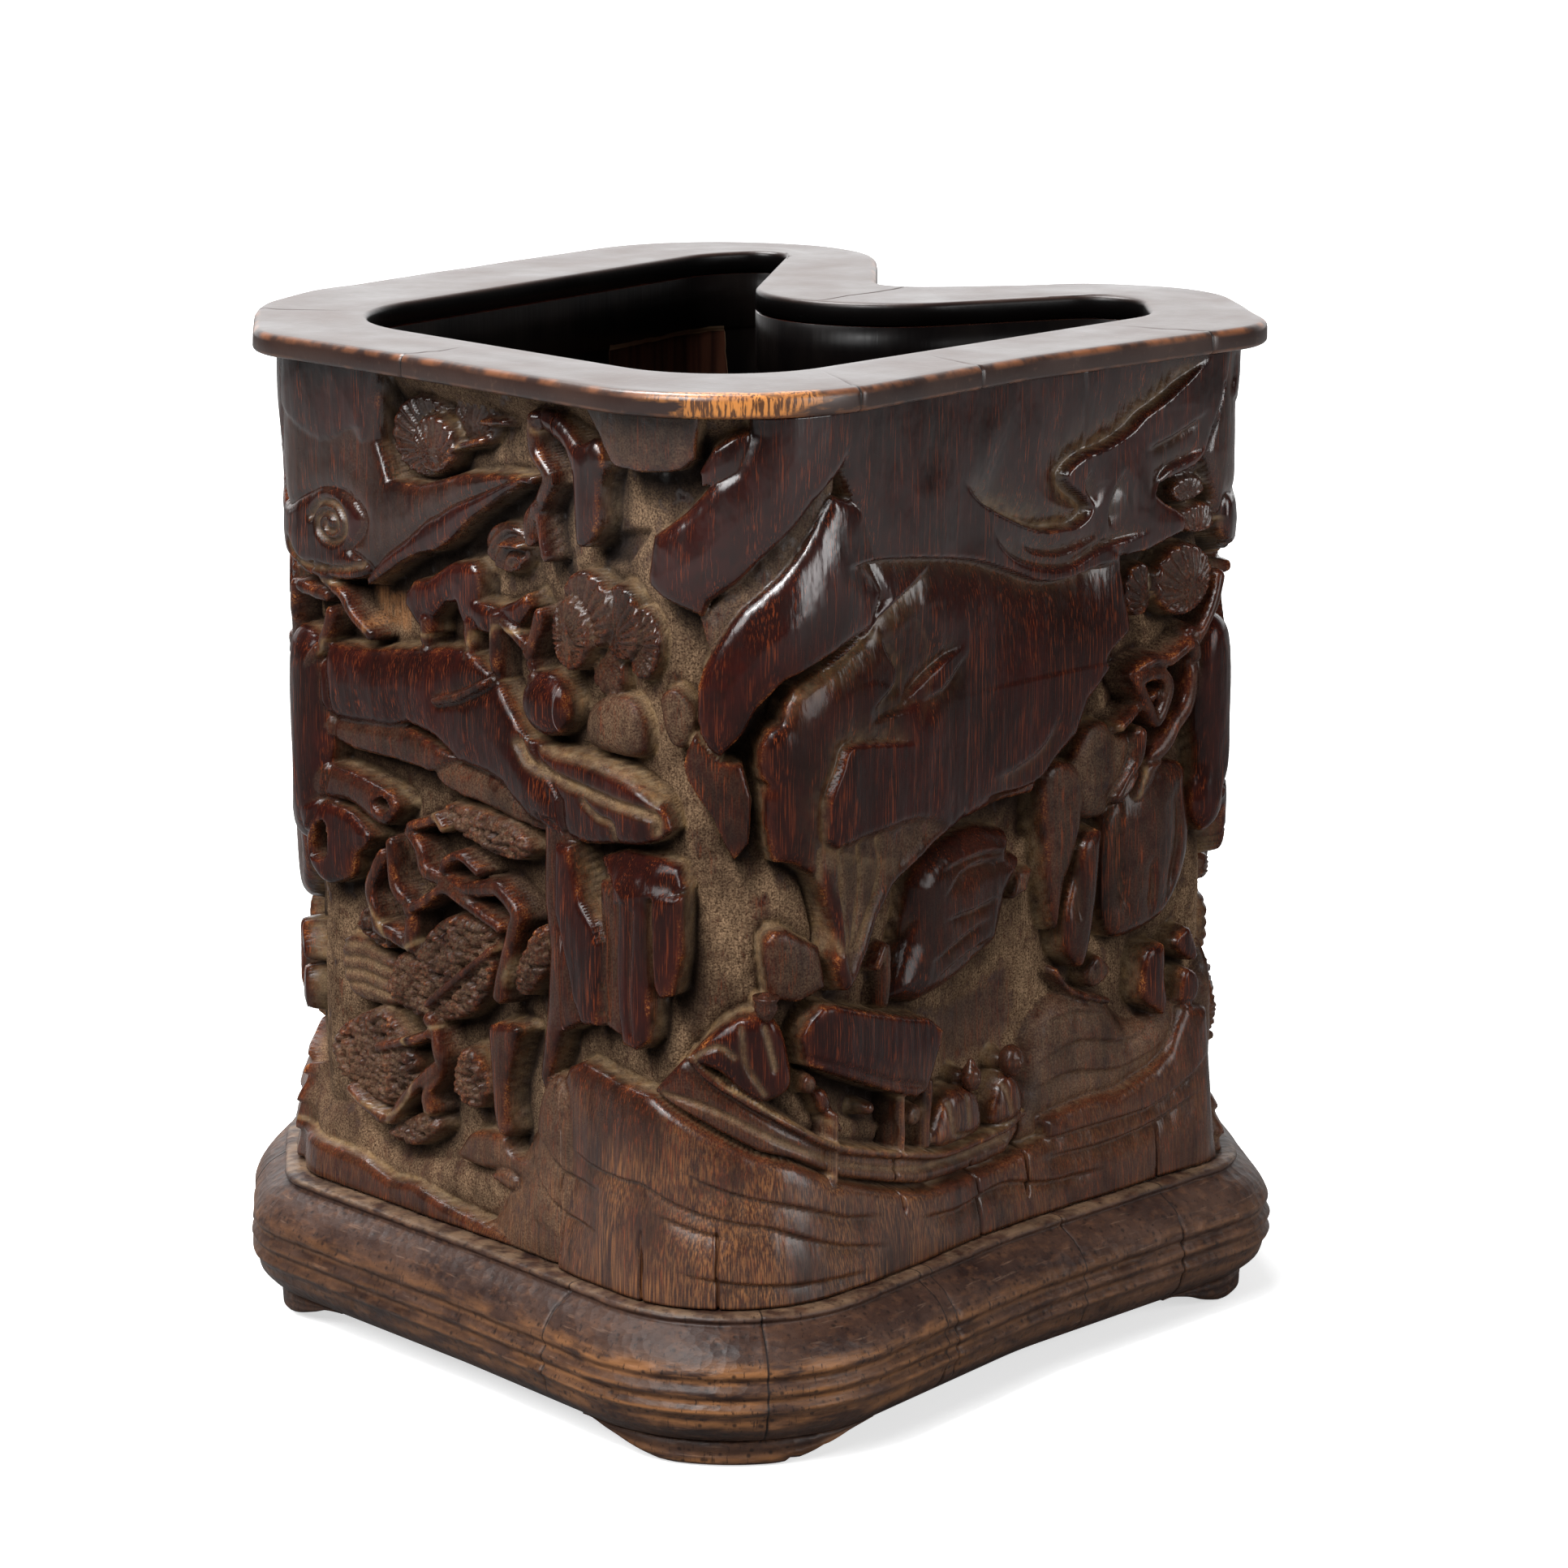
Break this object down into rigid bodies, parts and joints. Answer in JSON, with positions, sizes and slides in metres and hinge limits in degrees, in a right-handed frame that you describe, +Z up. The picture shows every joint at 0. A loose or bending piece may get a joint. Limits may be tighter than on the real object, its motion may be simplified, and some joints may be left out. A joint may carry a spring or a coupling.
{
  "type": "brush holder pot",
  "caption": "Carved bamboo brush pot with a lobed, inward-bent wall, flat overhanging rim, moulded plinth and low bracket feet, for standing writing brushes in.",
  "frame": {"origin": "middle of the footprint on the resting plane, under the feet", "axes": "+Z up, -Y towards the front lobe, +X towards the right lobe; the wall's inward bend lies in the +X +Y quarter"},
  "size_m": [0.158, 0.189, 0.15],
  "materials": {
    "carved_bamboo": "polished dark red-brown patina on the high parts, matte dusty tan in the recesses",
    "rim_bamboo": "smooth dark lacquer-like patina, worn to amber along the edge",
    "plinth_bamboo": "satin brown, worn orange on the ridges, with fine cracks along the grain",
    "floor_wood": "dull dark lacquer"
  },
  "bodies": {
    "root": {"carved_wall": "carved_bamboo", "rim_band": "rim_bamboo", "plinth_moulding": "plinth_bamboo", "floor_plate": "floor_wood", "foot_front": "plinth_bamboo", "foot_right": "plinth_bamboo", "foot_back": "plinth_bamboo", "foot_left": "plinth_bamboo"}
  },
  "joints": []
}
